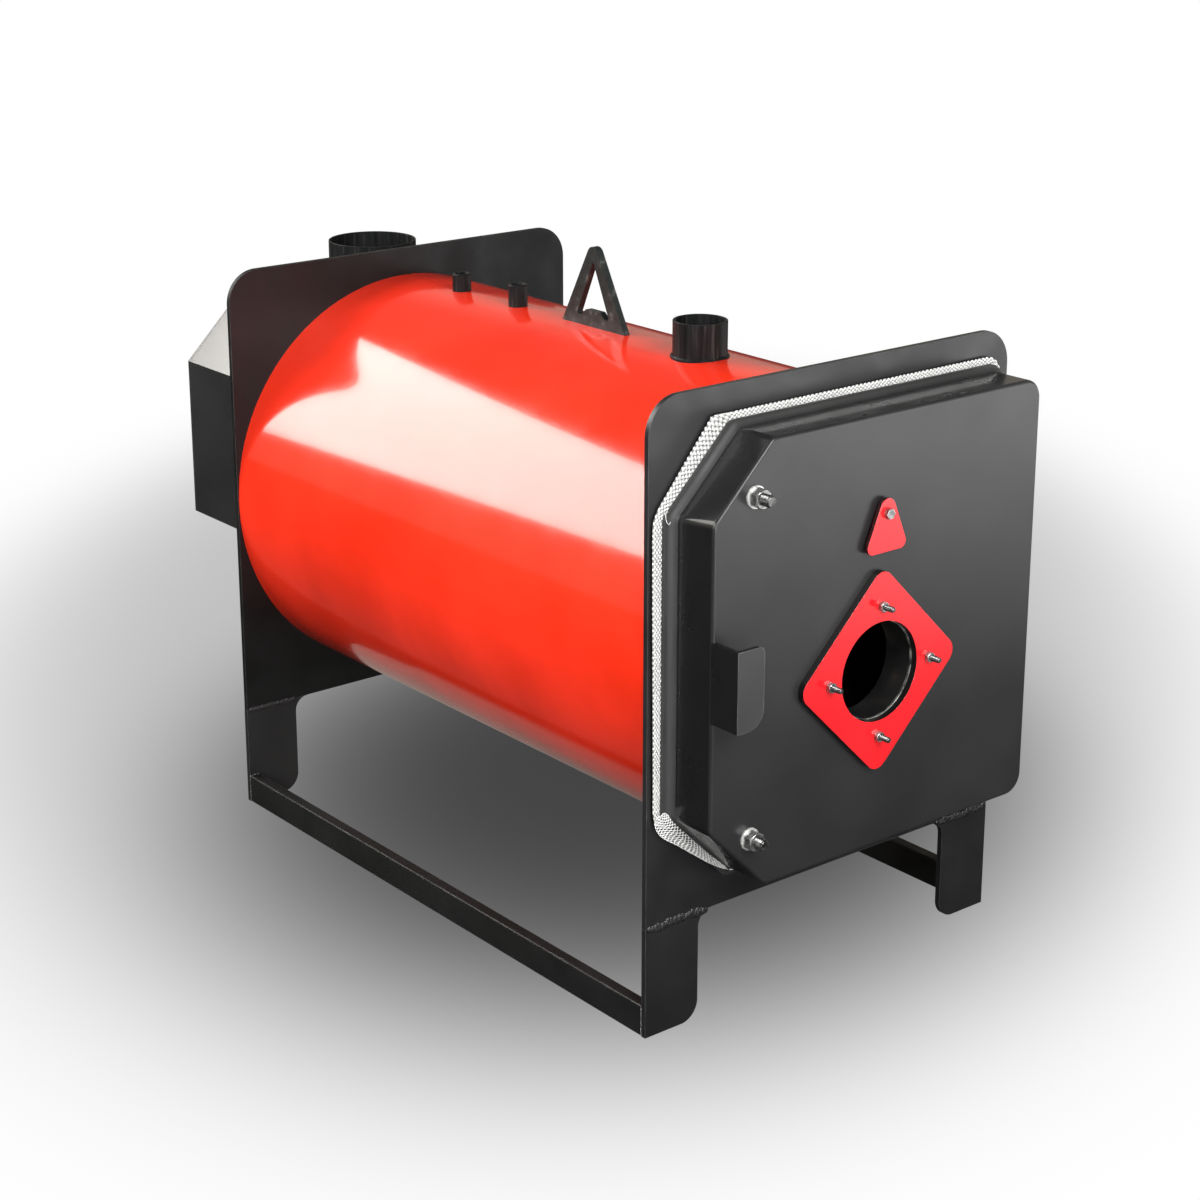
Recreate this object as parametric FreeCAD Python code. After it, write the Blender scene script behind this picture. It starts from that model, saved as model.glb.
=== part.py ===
import FreeCAD, Part
import os
from math import cos, radians, sin, sqrt, tan, acos

# A small steel hot-water boiler: a round shell between two flat end plates on welded legs, with a
# hinged burner door on the front plate, a smoke box on the rear plate and pipe stubs on top.
# Millimetres. +X is to the right of someone facing the door, +Y runs from the door to the smoke
# box, +Z is up. The origin is on the floor, under the middle of the boiler's overall length.

V = FreeCAD.Vector

# ---- end plates and legs
plate_width = 640.0
plate_top = 860.0
plate_bottom = 155.0
plate_thickness = 8.0
plate_corner_radius = 50.0
leg_width = 90.0
leg_toe_radius = 28.0
leg_web_radius = 22.0

# ---- floor runners between the front and rear legs
runner_width = 18.0
runner_height = 44.0
runner_wall = 3.0
runner_corner_radius = 2.0

# ---- shell, furnace and smoke tubes
shell_length = 976.0
shell_radius = 318.0
shell_wall = 5.0
shell_axis_z = 499.0
furnace_wall = 6.0
furnace_length = 880.0
furnace_end_thickness = 8.0
tube_radius = 25.5
tube_wall = 3.0
tube_pitch_angle = 26.0
outer_row_clearance = 6.5
outer_row_tubes = 5
inner_row_pitch = 66.0
inner_row_tubes = 7
furnace_clearance = 24.5

# ---- smoke box and flue
smoke_box_width = 600.0
smoke_box_bottom = 443.0
smoke_box_top = 800.0
smoke_box_slope = 110.0
smoke_box_depth = 162.0
smoke_box_sheet = 4.0
flue_radius = 70.0
flue_wall = 3.0
flue_height = 61.0

# ---- pipe stubs, sockets and lifting lug on the shell and rear plate
pipe_radius = 38.05
pipe_wall = 4.0
pipe_weld_radius = 41.0
pipe_weld_height = 2.5
flow_pipe_y = 272.0
flow_pipe_height = 50.0
return_pipe_z = 300.0
return_pipe_length = 60.0
socket_radius = 14.5
socket_bore_radius = 9.3
socket_chamfer = 1.2
gauge_socket_y = 685.0
gauge_socket_height = 33.0
safety_socket_y = 828.0
safety_socket_height = 27.0
lug_y = 500.0
lug_thickness = 10.0
lug_half_base = 71.0
lug_height = 117.0
lug_tip_radius = 13.0
lug_sill = 15.0
lug_eye_half_base = 37.0
lug_eye_height = 71.0
lug_pad_half_base = 26.0
lug_pad_half_top = 16.0
lug_pad_height = 9.0

# ---- door pan
door_left = -282.0
door_right = 299.0
door_bottom = 210.0
door_top = 807.0
door_depth = 80.0
door_corner_cut = 95.0
door_cut_radius = 16.0
door_corner_radius = 28.0
door_plate_thickness = 5.0
door_edge_radius = 4.0
skirt_wall = 4.0
skirt_flare = 8.0
flange_width = 9.0
flange_left_flare = 13.0
flange_thickness = 4.0
flange_gap = 8.0
gasket_width = 20.0
gasket_reach = 17.0
soft_gap = 0.3
insulation_depth = 40.0

# ---- burner opening
burner_z = 461.5
burner_plate_side = 205.0
burner_plate_thickness = 10.0
burner_plate_corner_radius = 20.0
tunnel_bore_radius = 67.5
tunnel_wall = 4.0
plate_bore_step = 1.0
burner_stud_circle_radius = 90.0
burner_stud_radius = 4.0
burner_stud_root_radius = 3.4
burner_stud_reach = 22.0
burner_nut_width = 13.0
burner_nut_height = 6.5

# ---- screws that hold the door shut
screw_x = -216.0
screw_rows = (283.0, 737.0)
screw_radius = 8.0
screw_reach = 30.0
screw_tip_gap = 1.0
washer_radius = 15.0
washer_thickness = 3.0
nut_width = 24.0
nut_height = 13.0
tapped_hole_radius = 7.0
tapped_hole_depth = 6.0

# ---- door handle
handle_bottom = 455.0
handle_top = 562.0
handle_thickness = 6.0
handle_reach = 46.0
handle_grip_width = 44.0
handle_low_radius = 26.0
handle_high_radius = 10.0

# ---- sight hole and its swinging cover
sight_x = 5.0
sight_hole_z = 645.0
sight_hole_radius = 12.0
sight_glass_radius = 16.0
sight_glass_thickness = 4.0
cover_pivot_z = 676.0
cover_thickness = 5.0
cover_stand_off = 5.0
cover_tip_radius = 14.0
cover_tip_rise = 6.0
cover_foot_radius = 10.0
cover_foot_half_span = 24.5
cover_foot_drop = 42.0
cover_bolt_radius = 4.0
cover_bolt_clearance = 0.08
cover_bolt_head_width = 13.0
cover_bolt_head_height = 6.0
cover_boss_radius = 8.0
cover_end_play = 0.3

# ---- hinges
hinge_rows = (283.0, 737.0)
hinge_pin_x = 312.0
hinge_pin_y = -40.0
hinge_pin_radius = 5.0
hinge_pin_clearance = 0.08
hinge_pin_head_radius = 7.5
hinge_pin_head_height = 4.0
hinge_barrel_radius = 8.0
hinge_ear_height = 14.0
hinge_knuckle_height = 50.0
hinge_end_play = 0.5
hinge_strap_thickness = 10.0

# ---- places along the boiler, and the sizes of what fits inside the shell
rear_plate_front = plate_thickness + shell_length
rear_plate_back = rear_plate_front + plate_thickness
smoke_box_back_y = rear_plate_back + smoke_box_depth
front_reach = door_depth + handle_reach
front_y = (front_reach - smoke_box_back_y) / 2
shell_crown = shell_axis_z + shell_radius
outer_row_radius = shell_radius - shell_wall - outer_row_clearance - tube_radius
inner_row_radius = outer_row_radius - inner_row_pitch
furnace_radius = inner_row_radius - tube_radius - furnace_clearance


def box(x0, x1, y0, y1, z0, z1):
    """A block between two corners; y counts from the front plate's face."""
    return Part.makeBox(x1 - x0, y1 - y0, z1 - z0, V(x0, y0 + front_y, z0))


def rod_y(x, z, radius, y0, y1):
    return Part.makeCylinder(radius, y1 - y0, V(x, y0 + front_y, z), V(0, 1, 0))


def rod_z(x, y, radius, z0, z1):
    return Part.makeCylinder(radius, z1 - z0, V(x, y + front_y, z0), V(0, 0, 1))


def tube_y(x, z, radius, wall, y0, y1):
    return rod_y(x, z, radius, y0, y1).cut(rod_y(x, z, radius - wall, y0, y1))


def hexagon_y(x, z, width, y0, y1):
    """A hexagon prism along Y, its width measured across the flats."""
    corner = width / sqrt(3)
    points = [
        V(x + corner * cos(radians(60 * k)), y0 + front_y, z + corner * sin(radians(60 * k)))
        for k in range(7)
    ]
    return Part.Face(Part.makePolygon(points)).extrude(V(0, y1 - y0, 0))


def outline(corners, y):
    """A closed wire in an XZ plane through (x, z, radius) corners, each rounded by its radius."""
    edges = []
    last = None
    first = None
    count = len(corners)
    for k in range(count):
        x, z, radius = corners[k]
        here = V(x, y + front_y, z)
        before = V(corners[k - 1][0], y + front_y, corners[k - 1][1])
        after = V(corners[(k + 1) % count][0], y + front_y, corners[(k + 1) % count][1])
        into = (before - here).normalize()
        out = (after - here).normalize()
        if radius > 0:
            half = acos(into.dot(out)) / 2
            start = here + into * (radius / tan(half))
            end = here + out * (radius / tan(half))
            middle = (into + out).normalize()
            bulge = here + middle * (radius / sin(half) - radius)
        else:
            start = end = here
        if last is not None and (start - last).Length > 1e-6:
            edges.append(Part.LineSegment(last, start).toShape())
        if radius > 0:
            edges.append(Part.Arc(start, bulge, end).toShape())
        if first is None:
            first = start
        last = end
    if (first - last).Length > 1e-6:
        edges.append(Part.LineSegment(last, first).toShape())
    return Part.Wire(edges)


def slab(corners, y0, y1):
    """A rounded outline drawn in XZ and extruded from y0 to y1."""
    return Part.Face(outline(corners, y0)).extrude(V(0, y1 - y0, 0))


def tube_centres():
    """The smoke tubes stand on two arcs over the furnace."""
    centres = []
    for count, radius in ((inner_row_tubes, inner_row_radius), (outer_row_tubes, outer_row_radius)):
        for k in range(count):
            angle = radians(90 + (k - (count - 1) / 2) * tube_pitch_angle)
            centres.append((radius * cos(angle), burner_z + radius * sin(angle)))
    return centres


def burner_stud_centres():
    spread = burner_stud_circle_radius
    return [(0, burner_z + spread), (spread, burner_z), (0, burner_z - spread), (-spread, burner_z)]


# ---- end plates, legs and runners

def end_plate(y0):
    half = plate_width / 2
    corners = [
        (-half, plate_bottom, 0),
        (half, plate_bottom, 0),
        (half, plate_top, plate_corner_radius),
        (-half, plate_top, plate_corner_radius),
    ]
    plate = slab(corners, y0, y0 + plate_thickness)
    for x, z in tube_centres():
        plate = plate.cut(rod_y(x, z, tube_radius, y0, y0 + plate_thickness))
    return plate


def front_plate():
    plate = end_plate(0).cut(rod_y(0, burner_z, furnace_radius, 0, plate_thickness))
    for z in screw_rows:
        plate = plate.cut(rod_y(screw_x, z, tapped_hole_radius, 0, tapped_hole_depth))
    return plate


def rear_plate():
    bore = pipe_radius - pipe_wall
    return end_plate(rear_plate_front).cut(
        rod_y(0, return_pipe_z, bore, rear_plate_front, rear_plate_back)
    )


def leg(side, y0):
    """side is -1 for a left leg and 1 for a right one; the toe and the web are on the inside."""
    outer = side * plate_width / 2
    inner = outer - side * leg_width
    corners = [
        (outer, 0, 0),
        (inner, 0, leg_toe_radius),
        (inner, plate_bottom, 0),
        (outer, plate_bottom, 0),
    ]
    post = slab(corners, y0, y0 + plate_thickness)
    web_x = inner - side * leg_web_radius
    web_z = plate_bottom - leg_web_radius
    web = box(min(inner, web_x), max(inner, web_x), y0, y0 + plate_thickness, web_z, plate_bottom)
    web = web.cut(rod_y(web_x, web_z, leg_web_radius, y0, y0 + plate_thickness))
    return post.fuse(web).removeSplitter()


def runner(side):
    outer = side * plate_width / 2
    inner = outer - side * runner_width
    low_x, high_x = min(outer, inner), max(outer, inner)
    radius = runner_corner_radius
    y0, y1 = plate_thickness, rear_plate_front
    bar = slab(
        [(low_x, 0, radius), (high_x, 0, radius), (high_x, runner_height, radius),
         (low_x, runner_height, radius)], y0, y1)
    hollow = box(low_x + runner_wall, high_x - runner_wall, y0, y1,
                 runner_wall, runner_height - runner_wall)
    return bar.cut(hollow)


# ---- shell, furnace and smoke tubes

def shell():
    y0, y1 = plate_thickness, rear_plate_front
    drum = tube_y(0, shell_axis_z, shell_radius, shell_wall, y0, y1)
    drum = drum.cut(rod_z(0, flow_pipe_y, pipe_radius - pipe_wall, shell_axis_z, plate_top))
    for y in (gauge_socket_y, safety_socket_y):
        drum = drum.cut(rod_z(0, y, socket_bore_radius, shell_axis_z, plate_top))
    return drum


def off_shell(stub):
    """Saddles the foot of something that stands on the shell."""
    return stub.cut(rod_y(0, shell_axis_z, shell_radius, 0, rear_plate_front))


def furnace_tube():
    return tube_y(0, burner_z, furnace_radius, furnace_wall, 0, furnace_length)


def furnace_end():
    return rod_y(0, burner_z, furnace_radius, furnace_length, furnace_length + furnace_end_thickness)


def smoke_tubes():
    tubes = [tube_y(x, z, tube_radius, tube_wall, 0, rear_plate_back) for x, z in tube_centres()]
    return Part.makeCompound(tubes)


# ---- smoke box and flue

def smoke_box_corners(inset):
    half = smoke_box_width / 2 - inset
    low = smoke_box_bottom + inset
    high = smoke_box_top - inset
    slope = smoke_box_slope - inset * (2 - 2 * tan(radians(22.5)))
    return [
        (-half, low, 0),
        (half, low, 0),
        (half, high - slope, 0),
        (half - slope, high, 0),
        (-half + slope, high, 0),
        (-half, high - slope, 0),
    ]


flue_y = rear_plate_back + smoke_box_depth / 2


def smoke_box():
    y0, y1 = rear_plate_back, smoke_box_back_y - smoke_box_sheet
    wrap = slab(smoke_box_corners(0), y0, y1).cut(slab(smoke_box_corners(smoke_box_sheet), y0, y1))
    return wrap.cut(rod_z(0, flue_y, flue_radius - flue_wall, shell_axis_z, plate_top))


def smoke_box_back():
    return slab(smoke_box_corners(0), smoke_box_back_y - smoke_box_sheet, smoke_box_back_y)


def flue_pipe():
    low, high = smoke_box_top, smoke_box_top + flue_height
    pipe = rod_z(0, flue_y, flue_radius, low, high)
    return pipe.cut(rod_z(0, flue_y, flue_radius - flue_wall, low, high))


# ---- pipe stubs, sockets and lifting lug

def flow_pipe():
    high = shell_crown + flow_pipe_height
    pipe = rod_z(0, flow_pipe_y, pipe_radius, shell_axis_z, high)
    weld_top = shell_crown + pipe_weld_height
    pipe = pipe.fuse(rod_z(0, flow_pipe_y, pipe_weld_radius, shell_axis_z, weld_top))
    pipe = pipe.cut(rod_z(0, flow_pipe_y, pipe_radius - pipe_wall, shell_axis_z, high))
    return off_shell(pipe)


def return_pipe():
    y0, y1 = rear_plate_back, rear_plate_back + return_pipe_length
    return tube_y(0, return_pipe_z, pipe_radius, pipe_wall, y0, y1)


def socket(y, height):
    high = shell_crown + height
    body = rod_z(0, y, socket_radius, shell_axis_z, high)
    rim = [e for e in body.Edges if e.BoundBox.ZMin > high - 1e-3]
    body = body.makeChamfer(socket_chamfer, rim)
    return off_shell(body.cut(rod_z(0, y, socket_bore_radius, shell_axis_z, high)))


def lug_plate(corners, x0, x1):
    """A rounded outline of (y, z, radius) corners, drawn upright along the boiler's axis."""
    flat = slab([(y, z, radius) for y, z, radius in corners], 0, x1 - x0)
    flat.translate(V(0, -front_y, 0))
    flat.rotate(V(0, 0, 0), V(0, 0, 1), 90)
    flat.translate(V(x1, front_y, 0))
    return flat


def lifting_lug():
    x0, x1 = -lug_thickness / 2, lug_thickness / 2
    sill = shell_crown + lug_sill
    sharp = shell_crown + lug_height + lug_tip_rise()
    plate = lug_plate(
        [(lug_y - lug_half_base, shell_axis_z, 0), (lug_y + lug_half_base, shell_axis_z, 0),
         (lug_y + lug_half_base, shell_crown, 0), (lug_y, sharp, lug_tip_radius),
         (lug_y - lug_half_base, shell_crown, 0)], x0, x1)
    eye = lug_plate(
        [(lug_y - lug_eye_half_base, sill, 2), (lug_y + lug_eye_half_base, sill, 2),
         (lug_y, sill + lug_eye_height, 2)], x0, x1)
    pad = lug_plate(
        [(lug_y - lug_pad_half_base, sill, 0), (lug_y + lug_pad_half_base, sill, 0),
         (lug_y + lug_pad_half_top, sill + lug_pad_height, 3),
         (lug_y - lug_pad_half_top, sill + lug_pad_height, 3)], x0, x1)
    return off_shell(plate.cut(eye).fuse(pad).removeSplitter())


def lug_tip_rise():
    """How far the sharp tip of the lug's triangle would stand above its rounded tip."""
    sharp = lug_height
    for _ in range(30):
        half = acos(sharp / sqrt(sharp**2 + lug_half_base**2))
        sharp = lug_height + lug_tip_radius / sin(half) - lug_tip_radius
    return sharp - lug_height


# ---- door pan

def door_corners(grow_left=0.0, grow=0.0, grow_right=0.0):
    """The door's outline, grown outwards; both left corners are cut at 45 degrees."""
    left = door_left - grow_left - grow
    right = door_right + grow_right
    low = door_bottom - grow
    high = door_top + grow
    cut = door_corner_cut + grow_left / 2 + grow * (2 - sqrt(2))
    soft = door_corner_radius + min(grow_right, 0)
    return [
        (left, low + cut, door_cut_radius),
        (left + cut, low, door_cut_radius),
        (right, low, soft),
        (right, high, soft),
        (left + cut, high, door_cut_radius),
        (left, high - cut, door_cut_radius),
    ]


def door_holes(y0, y1, screw_hole_radius):
    """What passes through the door: the burner tunnel, the sight hole and the two screws."""
    holes = [
        rod_y(0, burner_z, tunnel_bore_radius + tunnel_wall, y0, y1),
        rod_y(sight_x, sight_hole_z, sight_hole_radius, y0, y1),
    ]
    holes += [rod_y(screw_x, z, screw_hole_radius, y0, y1) for z in screw_rows]
    return holes


def door_plate():
    y0, y1 = -door_depth, -door_depth + door_plate_thickness
    plate = slab(door_corners(), y0, y1)
    front = [e for e in plate.Edges if e.BoundBox.YMax < y0 + front_y + 1e-3]
    plate = plate.makeFillet(door_edge_radius, front)
    for hole in door_holes(y0, y1, screw_radius):
        plate = plate.cut(hole)
    return plate


def door_loft(inset):
    """The pan's flared side, as a solid: its outline at the door plate and at the flange."""
    y0, y1 = -door_depth + door_plate_thickness, -flange_gap
    near = outline(door_corners(0, -inset, -inset), y0)
    far = outline(door_corners(skirt_flare, -inset, -inset), y1)
    return Part.makeLoft([near, far], True, True)


def door_skirt():
    return door_loft(0).cut(door_loft(skirt_wall))


def door_flange():
    y0, y1 = -flange_gap - flange_thickness, -flange_gap
    ring = slab(door_corners(flange_left_flare, flange_width), y0, y1)
    return ring.cut(door_loft(0))


def door_gasket():
    y0, y1 = -flange_gap + soft_gap, -soft_gap
    reach = gasket_reach
    ring = slab(door_corners(reach, reach, -soft_gap), y0, y1)
    hollow = slab(door_corners(reach, reach - gasket_width, -gasket_width), y0, y1)
    return ring.cut(hollow)


def door_insulation():
    y0 = -door_depth + door_plate_thickness
    y1 = y0 + insulation_depth
    block = door_loft(skirt_wall).common(box(-plate_width, plate_width, y0, y1, 0, plate_top))
    for hole in door_holes(y0, y1, screw_radius):
        block = block.cut(hole)
    return block.cut(rod_y(sight_x, sight_hole_z, sight_glass_radius, y0, y0 + sight_glass_thickness))


# ---- burner opening

def burner_tunnel():
    y1 = -door_depth + door_plate_thickness + insulation_depth
    return tube_y(0, burner_z, tunnel_bore_radius + tunnel_wall, tunnel_wall, -door_depth, y1)


def burner_plate():
    y0, y1 = -door_depth - burner_plate_thickness, -door_depth
    reach = burner_plate_side / sqrt(2)
    radius = burner_plate_corner_radius
    plate = slab(
        [(-reach, burner_z, radius), (0, burner_z - reach, radius),
         (reach, burner_z, radius), (0, burner_z + reach, radius)], y0, y1)
    plate = plate.cut(rod_y(0, burner_z, tunnel_bore_radius + plate_bore_step, y0, y1))
    for x, z in burner_stud_centres():
        plate = plate.cut(rod_y(x, z, burner_stud_root_radius, y0, y1))
    return plate


def burner_studs():
    """Full size where they stand free, the thread's inner size in the nuts and the plate."""
    y0 = -door_depth - burner_plate_thickness - burner_stud_reach
    y1 = -door_depth - burner_plate_thickness - burner_nut_height
    studs = []
    for x, z in burner_stud_centres():
        tip = rod_y(x, z, burner_stud_radius, y0, y1)
        root = rod_y(x, z, burner_stud_root_radius, y1, -door_depth)
        studs.append(tip.fuse(root))
    return Part.makeCompound(studs)


def burner_nuts():
    y1 = -door_depth - burner_plate_thickness
    y0 = y1 - burner_nut_height
    nuts = [hexagon_y(x, z, burner_nut_width, y0, y1) for x, z in burner_stud_centres()]
    holes = [rod_y(x, z, burner_stud_root_radius, y0, y1) for x, z in burner_stud_centres()]
    return Part.makeCompound([nut.cut(hole) for nut, hole in zip(nuts, holes)])


# ---- screws that hold the door shut

def door_screws():
    y0, y1 = -door_depth - screw_reach, -screw_tip_gap
    return Part.makeCompound([rod_y(screw_x, z, screw_radius, y0, y1) for z in screw_rows])


def door_washers():
    y0, y1 = -door_depth - washer_thickness, -door_depth
    return Part.makeCompound(
        [tube_y(screw_x, z, washer_radius, washer_radius - screw_radius, y0, y1) for z in screw_rows])


def door_nuts():
    y1 = -door_depth - washer_thickness
    y0 = y1 - nut_height
    return Part.makeCompound(
        [hexagon_y(screw_x, z, nut_width, y0, y1).cut(rod_y(screw_x, z, screw_radius, y0, y1))
         for z in screw_rows])


# ---- handle, sight hole and cover

def door_handle():
    x0, x1 = door_left, door_left + handle_grip_width
    y0, y1 = -door_depth - handle_reach, -door_depth + door_edge_radius
    web = box(x0, x0 + handle_thickness, y0, y1, handle_bottom, handle_top)
    grip = slab(
        [(x0, handle_bottom, 0), (x1, handle_bottom, handle_low_radius),
         (x1, handle_top, handle_high_radius), (x0, handle_top, 0)],
        y0, y0 + handle_thickness)
    return web.cut(door_plate()).fuse(grip).removeSplitter()


def sight_glass():
    y0 = -door_depth + door_plate_thickness
    return rod_y(sight_x, sight_hole_z, sight_glass_radius, y0, y0 + sight_glass_thickness)


def cover_bolt():
    """The boss on the door plate, the shank that the cover turns on and the hexagon head."""
    back = -door_depth
    cover_back = back - cover_stand_off
    cover_front = cover_back - cover_thickness
    head_back = cover_front - cover_end_play
    head_front = head_back - cover_bolt_head_height
    boss = rod_y(sight_x, cover_pivot_z, cover_boss_radius, cover_back + cover_end_play, back)
    shank = rod_y(sight_x, cover_pivot_z, cover_bolt_radius, head_back, back)
    head = hexagon_y(sight_x, cover_pivot_z, cover_bolt_head_width, head_front, head_back)
    return boss.fuse(shank).fuse(head).removeSplitter()


def sight_cover():
    """A flap with three rounded corners, its outline wrapped round three circles."""
    y1 = -door_depth - cover_stand_off
    y0 = y1 - cover_thickness
    tip_z = cover_pivot_z + cover_tip_rise
    foot_z = cover_pivot_z - cover_foot_drop
    run = sqrt(cover_foot_half_span**2 + (tip_z - foot_z) ** 2)
    lean = acos((tip_z - foot_z) / run)
    taper = radians(90) - acos((cover_tip_radius - cover_foot_radius) / run)
    side = lean + taper
    ring = []
    for sign in (-1, 1):
        normal = V(sign * cos(side), 0, sin(side))
        tip = V(sight_x, y0 + front_y, tip_z) + normal * cover_tip_radius
        foot = V(sight_x + sign * cover_foot_half_span, y0 + front_y, foot_z)
        ring.append((tip, foot + normal * cover_foot_radius, foot + V(0, 0, -cover_foot_radius), foot))
    left, right = ring
    top = V(sight_x, y0 + front_y, tip_z + cover_tip_radius)
    edges = [Part.Arc(left[0], top, right[0]).toShape()]
    for tip, shoulder, base, foot in ring:
        half_way = ((shoulder - foot) + (base - foot)).normalize() * cover_foot_radius + foot
        edges.append(Part.LineSegment(tip, shoulder).toShape())
        edges.append(Part.Arc(shoulder, half_way, base).toShape())
    edges.append(Part.LineSegment(left[2], right[2]).toShape())
    wire = Part.Wire(Part.__sortEdges__(edges))
    flap = Part.Face(wire).extrude(V(0, cover_thickness, 0))
    bore = cover_bolt_radius + cover_bolt_clearance
    return flap.cut(rod_y(sight_x, cover_pivot_z, bore, y0, y1))


# ---- hinges

def knuckle_span(z):
    """The door's knuckle stands between two ears; z is the hinge's middle."""
    return z - hinge_knuckle_height / 2, z + hinge_knuckle_height / 2


def hinge_ears():
    ears = []
    for row in hinge_rows:
        low, high = knuckle_span(row)
        for z0 in (low - hinge_end_play - hinge_ear_height, high + hinge_end_play):
            z1 = z0 + hinge_ear_height
            ear = rod_z(hinge_pin_x, hinge_pin_y, hinge_barrel_radius, z0, z1)
            ear = ear.fuse(box(hinge_pin_x - hinge_barrel_radius, hinge_pin_x + hinge_barrel_radius,
                               hinge_pin_y, 0, z0, z1)).removeSplitter()
            ears.append(ear.cut(rod_z(hinge_pin_x, hinge_pin_y, hinge_pin_radius, z0, z1)))
    return Part.makeCompound(ears)


def hinge_pins():
    pins = []
    for row in hinge_rows:
        low, high = knuckle_span(row)
        foot = low - hinge_end_play - hinge_ear_height
        top = high + hinge_end_play + hinge_ear_height
        pin = rod_z(hinge_pin_x, hinge_pin_y, hinge_pin_radius, foot, top)
        head = rod_z(hinge_pin_x, hinge_pin_y, hinge_pin_head_radius, top, top + hinge_pin_head_height)
        pins.append(pin.fuse(head).removeSplitter())
    return Part.makeCompound(pins)


def door_knuckles():
    knuckles = []
    for row in hinge_rows:
        low, high = knuckle_span(row)
        barrel = rod_z(hinge_pin_x, hinge_pin_y, hinge_barrel_radius, low, high)
        strap = box(door_right, hinge_pin_x, hinge_pin_y - hinge_strap_thickness / 2,
                    hinge_pin_y + hinge_strap_thickness / 2, low, high)
        bore = rod_z(hinge_pin_x, hinge_pin_y, hinge_pin_radius + hinge_pin_clearance, low, high)
        knuckles.append(barrel.fuse(strap).removeSplitter().cut(bore))
    return Part.makeCompound(knuckles)


parts = {
    "shell": shell(),
    "front_plate": front_plate(),
    "rear_plate": rear_plate(),
    "front_left_leg": leg(-1, 0),
    "front_right_leg": leg(1, 0),
    "rear_left_leg": leg(-1, rear_plate_front),
    "rear_right_leg": leg(1, rear_plate_front),
    "left_runner": runner(-1),
    "right_runner": runner(1),
    "furnace_tube": furnace_tube(),
    "furnace_end": furnace_end(),
    "smoke_tubes": smoke_tubes(),
    "smoke_box": smoke_box(),
    "smoke_box_back": smoke_box_back(),
    "flue_pipe": flue_pipe(),
    "flow_pipe": flow_pipe(),
    "return_pipe": return_pipe(),
    "gauge_socket": socket(gauge_socket_y, gauge_socket_height),
    "safety_socket": socket(safety_socket_y, safety_socket_height),
    "lifting_lug": lifting_lug(),
    "hinge_ears": hinge_ears(),
    "hinge_pins": hinge_pins(),
    "door_plate": door_plate(),
    "door_skirt": door_skirt(),
    "door_flange": door_flange(),
    "door_insulation": door_insulation(),
    "door_gasket": door_gasket(),
    "burner_tunnel": burner_tunnel(),
    "burner_plate": burner_plate(),
    "burner_studs": burner_studs(),
    "burner_nuts": burner_nuts(),
    "door_screws": door_screws(),
    "door_washers": door_washers(),
    "door_nuts": door_nuts(),
    "door_handle": door_handle(),
    "door_knuckles": door_knuckles(),
    "sight_glass": sight_glass(),
    "cover_bolt": cover_bolt(),
    "sight_cover": sight_cover(),
}

os.makedirs("parts", exist_ok=True)
for name, shape in parts.items():
    shape.exportStep(f"parts/{name}.step")
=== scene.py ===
import math
import random

import bpy
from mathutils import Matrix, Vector


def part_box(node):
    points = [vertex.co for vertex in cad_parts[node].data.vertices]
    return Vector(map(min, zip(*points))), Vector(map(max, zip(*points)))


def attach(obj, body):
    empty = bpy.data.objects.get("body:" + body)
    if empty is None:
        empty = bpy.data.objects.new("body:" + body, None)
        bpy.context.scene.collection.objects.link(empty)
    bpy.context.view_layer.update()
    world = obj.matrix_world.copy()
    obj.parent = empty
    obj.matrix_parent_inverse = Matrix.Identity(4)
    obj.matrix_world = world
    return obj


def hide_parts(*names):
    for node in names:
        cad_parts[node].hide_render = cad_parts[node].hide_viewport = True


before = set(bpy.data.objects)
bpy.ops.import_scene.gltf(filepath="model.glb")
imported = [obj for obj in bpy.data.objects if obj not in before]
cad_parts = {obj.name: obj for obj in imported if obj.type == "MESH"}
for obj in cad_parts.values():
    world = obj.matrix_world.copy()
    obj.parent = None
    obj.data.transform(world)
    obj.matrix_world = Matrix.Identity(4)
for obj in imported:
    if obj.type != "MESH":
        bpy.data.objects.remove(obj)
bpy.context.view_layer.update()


# ---- Floor, lights and camera
# A white floor with a soft painted shadow pool under the boiler, in a white cove. Three lamps, a
# tilted softbox, a dim sky and a bounce sheet light the boiler, and a glowing sheet just under the
# floor shows only in its gloss, as a painted reflection. The camera stands at its front left, a
# little above it.

def glowing(screen, name):
    """Makes a floor or screen glow by itself, and returns its nodes, links and emission shader."""
    screen.name = name
    material = bpy.data.materials.new(name)
    material.use_nodes = True
    nodes, links = material.node_tree.nodes, material.node_tree.links
    nodes.remove(nodes["Principled BSDF"])
    glow = nodes.new("ShaderNodeEmission")
    links.new(glow.outputs["Emission"], nodes["Material Output"].inputs["Surface"])
    screen.data.materials.append(material)
    return nodes, links, glow


def unseen_by(screen, *rays):
    """Hides a floor or screen from these kinds of ray."""
    for ray in rays:
        setattr(screen, "visible_" + ray, False)


def maths(operation, *values):
    """One maths node fed by numbers and other nodes' outputs."""
    node = nodes.new("ShaderNodeMath")
    node.operation = operation
    for socket, value in zip(node.inputs, values):
        if isinstance(value, bpy.types.NodeSocket):
            links.new(value, socket)
        else:
            socket.default_value = value
    return node.outputs["Value"]


def ramp(nodes, links, value, stops, curve="LINEAR"):
    """A colour ramp through (place, colour) stops."""
    pick = nodes.new("ShaderNodeValToRGB")
    pick.color_ramp.interpolation = curve
    elements = pick.color_ramp.elements
    while len(elements) < len(stops):
        elements.new(0.5)
    for element, (position, colour) in zip(elements, stops):
        element.position = position
        element.color = (*colour, 1)
    links.new(value, pick.inputs["Fac"])
    return pick.outputs["Color"]


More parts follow.
